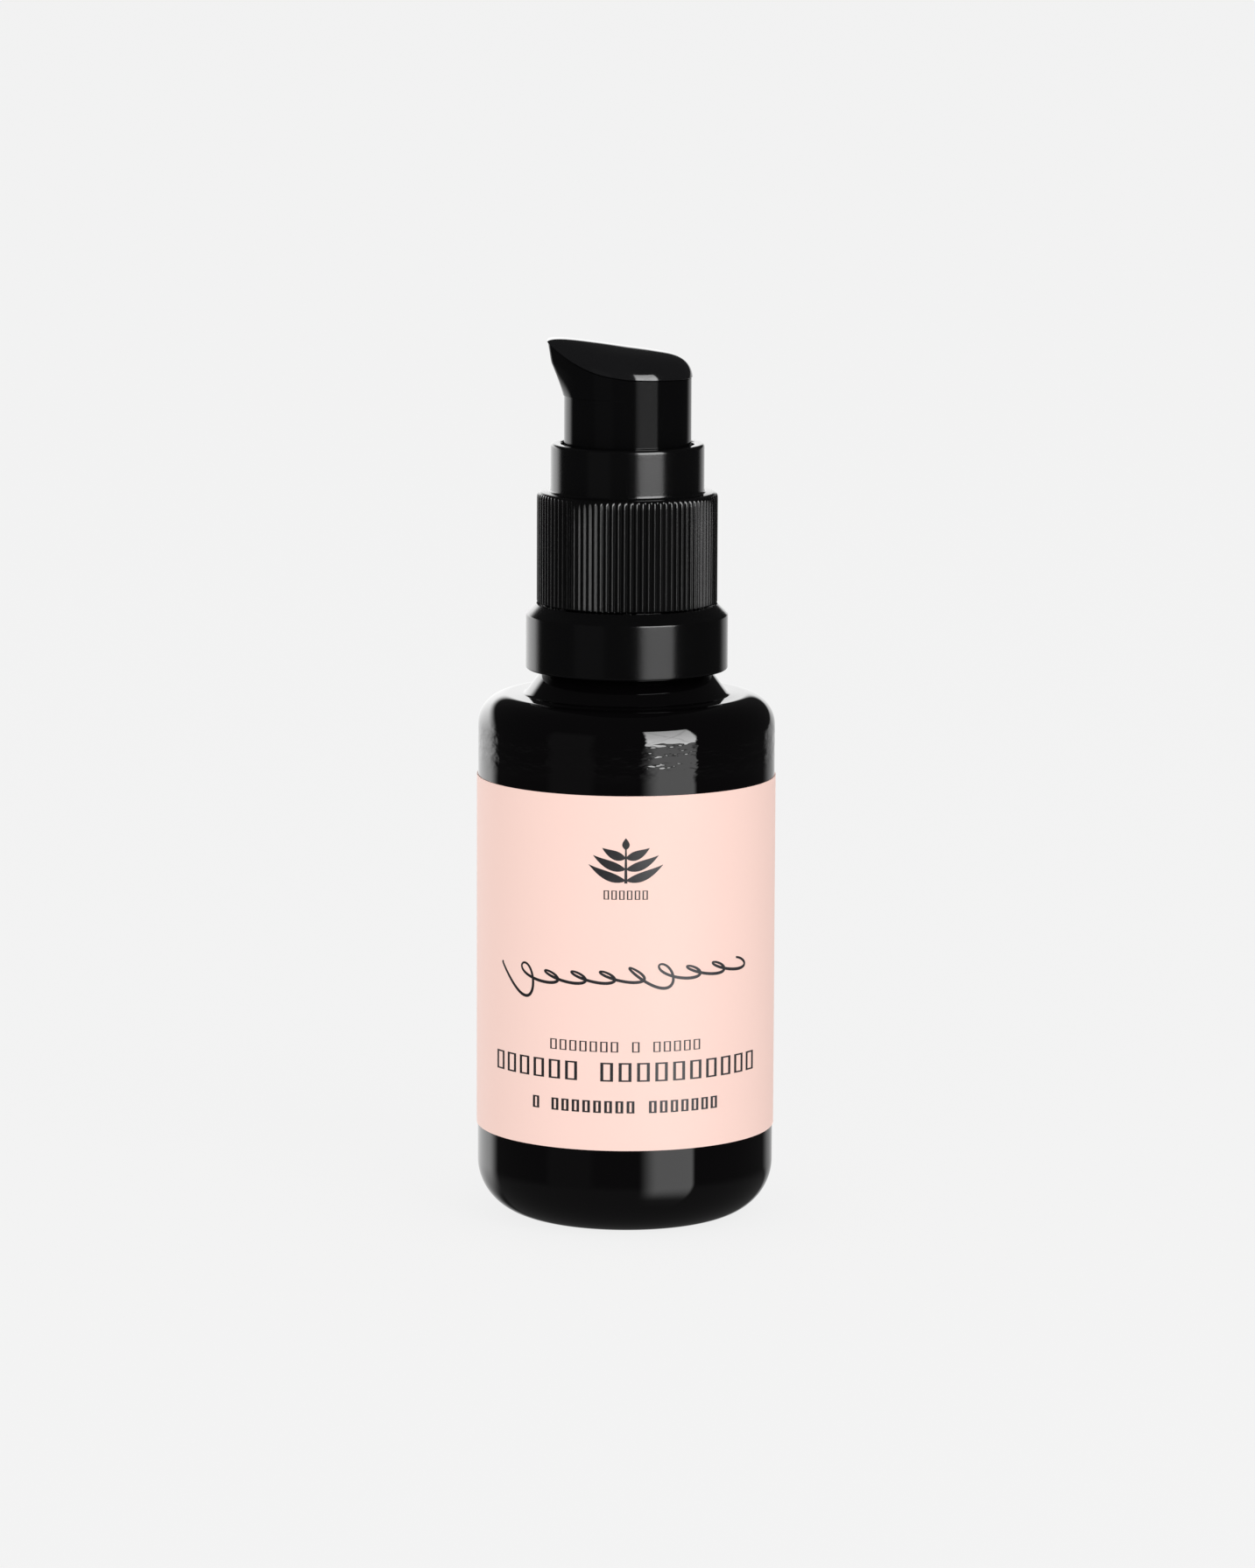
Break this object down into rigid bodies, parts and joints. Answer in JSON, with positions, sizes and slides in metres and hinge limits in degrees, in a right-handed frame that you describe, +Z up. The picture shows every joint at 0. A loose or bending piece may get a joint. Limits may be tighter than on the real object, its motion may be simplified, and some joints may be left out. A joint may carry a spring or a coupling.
{
  "type": "foundation bottle",
  "caption": "Cylindrical dark glass cosmetic bottle with wrap label, tamper-evident ring, ribbed screw closure and a press-down treatment pump with a swivelling beaked spout",
  "frame": {"origin": "centre of the bottle's base, at the height of the surface it stands on", "axes": "+Z is up along the bottle's axis and the pump's stroke; the spout points along -X"},
  "size_m": [0.0332, 0.0332, 0.0979],
  "materials": {
    "dark_glass": "polished near-black glass, opaque in daylight",
    "label_film": "pale pink satin self-adhesive film",
    "closure_plastic": "black satin moulded polypropylene",
    "gasket_foam": "white closed-cell foam",
    "pump_plastic": "natural polypropylene",
    "tube_plastic": "natural polyethylene tube",
    "piston_plastic": "soft polyethylene",
    "steel": "bright stainless steel",
    "actuator_plastic": "black satin moulded polypropylene",
    "lid_plastic": "black polished moulded polypropylene"
  },
  "bodies": {
    "bottle": {"glass_bottle": "dark_glass", "wrap_label": "label_film"},
    "ring": {"tamper_ring": "closure_plastic"},
    "engine": {"pump_housing": "pump_plastic", "neck_gasket": "gasket_foam", "housing_cap": "pump_plastic", "dip_tube": "tube_plastic"},
    "closure": {"screw_closure": "closure_plastic"},
    "ball": {"inlet_ball": "steel"},
    "pump_stem": {"stem": "pump_plastic", "poppet": "pump_plastic", "return_spring": "steel"},
    "piston": {"piston": "piston_plastic"},
    "actuator": {"actuator_body": "actuator_plastic", "actuator_lid": "lid_plastic"}
  },
  "joints": [
    {"name": "ring_spin", "type": "hinge", "parent": "bottle", "child": "ring", "pos_m": [0, 0, 0.064], "axis": [0, 0, 1], "continuous": true},
    {"name": "engine_lift", "type": "slide", "parent": "bottle", "child": "engine", "axis": [0, 0, 1], "range_m": [0, 0.0045]},
    {"name": "closure_twist", "type": "hinge", "parent": "engine", "child": "closure", "pos_m": [0, 0, 0.075], "axis": [0, 0, 1], "range_deg": [0, 540]},
    {"name": "ball_lift", "type": "slide", "parent": "engine", "child": "ball", "axis": [0, 0, 1], "range_m": [0, 0.0008]},
    {"name": "pump_press", "type": "slide", "parent": "engine", "child": "pump_stem", "axis": [0, 0, -1], "range_m": [0, 0.004], "stiffness_N_per_m": 1500, "springref_m": -0.003, "deforming": ["return_spring"]},
    {"name": "piston_slip", "type": "slide", "parent": "pump_stem", "child": "piston", "axis": [0, 0, 1], "range_m": [0, 0.0005]},
    {"name": "actuator_swivel", "type": "hinge", "parent": "pump_stem", "child": "actuator", "pos_m": [0, 0, 0.09], "axis": [0, 0, 1], "continuous": true}
  ],
  "couplings": [
    {"joint": "closure_twist", "follows": "engine_lift", "rad_per_m": 2094.4}
  ]
}
